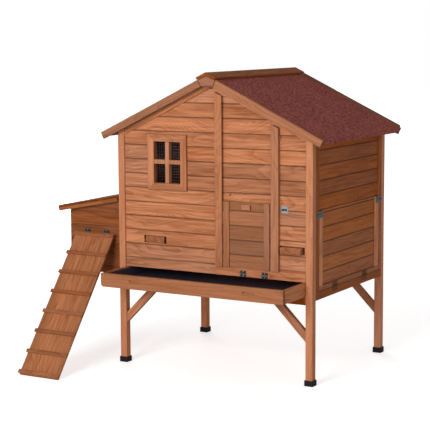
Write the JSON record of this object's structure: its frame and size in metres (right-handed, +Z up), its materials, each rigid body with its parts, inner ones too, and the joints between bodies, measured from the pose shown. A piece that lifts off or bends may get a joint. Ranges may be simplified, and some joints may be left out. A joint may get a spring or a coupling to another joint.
{
  "type": "chicken coop",
  "caption": "Raised wooden hen house with a felted gable roof, side nest box, pull-out litter tray, sliding pop door, drop flap and a hooked ramp.",
  "frame": {"origin": "on the ground, under the centre of the whole coop's box", "axes": "+Z up, -Y the front gable with the pop door, +X the side with the drop flap, -X the nest box"},
  "size_m": [1.4148, 1.283, 1.3603],
  "materials": {
    "stained_fir": "orange-brown stained softwood, satin, fine grain with small knots",
    "red_felt": "maroon mineral-faced roofing felt, rough and granular",
    "black_plastic": "black moulded plastic, matte",
    "zinc_steel": "bright zinc-plated steel, slightly brushed",
    "black_steel": "black coated steel, satin"
  },
  "bodies": {
    "house": {"posts": "stained_fir", "foot_caps": "black_plastic", "bottom_rails": "stained_fir", "front_sill_rail": "stained_fir", "front_wall_frame": "stained_fir", "header_rails": "stained_fir", "side_top_rails": "stained_fir", "wall_stiles": "stained_fir", "corner_braces": "stained_fir", "front_cladding": "stained_fir", "slotted_boards": "stained_fir", "rear_cladding": "stained_fir", "left_cladding": "stained_fir", "right_cladding": "stained_fir", "gable_trims": "stained_fir", "roof_boards": "stained_fir", "eave_battens": "stained_fir", "roof_felt": "red_felt", "bargeboards": "stained_fir", "ridge_beam": "stained_fir", "peak_plates": "stained_fir", "ridge_caps": "stained_fir", "window_frame": "stained_fir", "window_bars": "stained_fir", "window_mesh": "zinc_steel", "door_guides": "stained_fir", "button_plate": "zinc_steel", "cord_eye": "zinc_steel", "roost_rests": "stained_fir", "nest_walls": "stained_fir", "nest_floor": "stained_fir", "nest_dividers": "stained_fir", "fixed_hinge_leaves": "zinc_steel", "tray_runners": "stained_fir", "catch_plates": "black_steel", "catch_staples": "zinc_steel", "frame_screws": "zinc_steel"},
    "pop_door": {"pop_door_boards": "stained_fir", "pop_door_stiles": "stained_fir", "pop_door_pull": "stained_fir"},
    "tray": {"tray_front": "stained_fir", "tray_sides": "stained_fir", "tray_bottom": "stained_fir", "tray_liner": "black_plastic"},
    "flap": {"flap_boards": "stained_fir", "flap_frame": "stained_fir", "flap_hasps": "zinc_steel", "flap_hinge_leaves": "zinc_steel"},
    "lid": {"lid_boards": "stained_fir", "lid_battens": "stained_fir", "lid_felt": "red_felt", "lid_hinge_leaves": "zinc_steel"},
    "ramp": {"ramp_board": "stained_fir", "ramp_cleats": "stained_fir", "ramp_hooks": "black_steel"},
    "left_roost": {"roost_bar_left": "stained_fir"},
    "right_roost": {"roost_bar_right": "stained_fir"},
    "front_staple": {"hasp_staple_front": "zinc_steel"},
    "rear_staple": {"hasp_staple_rear": "zinc_steel"},
    "button": {"turn_button": "black_steel"}
  },
  "joints": [
    {"name": "pop_door_slide", "type": "slide", "parent": "house", "child": "pop_door", "axis": [0, 0, 1], "range_m": [0, 0.34]},
    {"name": "tray_slide", "type": "slide", "parent": "house", "child": "tray", "axis": [0, -1, 0], "range_m": [-0.203, 0.33]},
    {"name": "flap_hinge", "type": "hinge", "parent": "house", "child": "flap", "pos_m": [0.6441, 0.19946, 0.41125], "axis": [0, 1, 0], "range_deg": [0, 170]},
    {"name": "lid_hinge", "type": "hinge", "parent": "house", "child": "lid", "pos_m": [-0.3629, 0.19946, 0.79066], "axis": [0, 1, 0], "range_deg": [0, 75]},
    {"name": "ramp_hinge", "type": "hinge", "parent": "house", "child": "ramp", "pos_m": [-0.5054, -0.16154, 0.6], "axis": [-1, 0, 0], "range_deg": [0, 60]},
    {"name": "left_roost_slide", "type": "slide", "parent": "house", "child": "left_roost", "axis": [0, -1, 0], "range_m": [0, 0.35]},
    {"name": "right_roost_slide", "type": "slide", "parent": "house", "child": "right_roost", "axis": [0, -1, 0], "range_m": [-0.033, 0.35]},
    {"name": "front_staple_turn", "type": "hinge", "parent": "house", "child": "front_staple", "pos_m": [0.6406, -0.13404, 0.7485], "axis": [1, 0, 0], "range_deg": [0, 90]},
    {"name": "rear_staple_turn", "type": "hinge", "parent": "house", "child": "rear_staple", "pos_m": [0.6406, 0.53296, 0.7485], "axis": [1, 0, 0], "range_deg": [0, 90]},
    {"name": "button_turn", "type": "hinge", "parent": "house", "child": "button", "pos_m": [0.5016, -0.17954, 0.7685], "axis": [0, -1, 0], "range_deg": [-90, 90]}
  ]
}
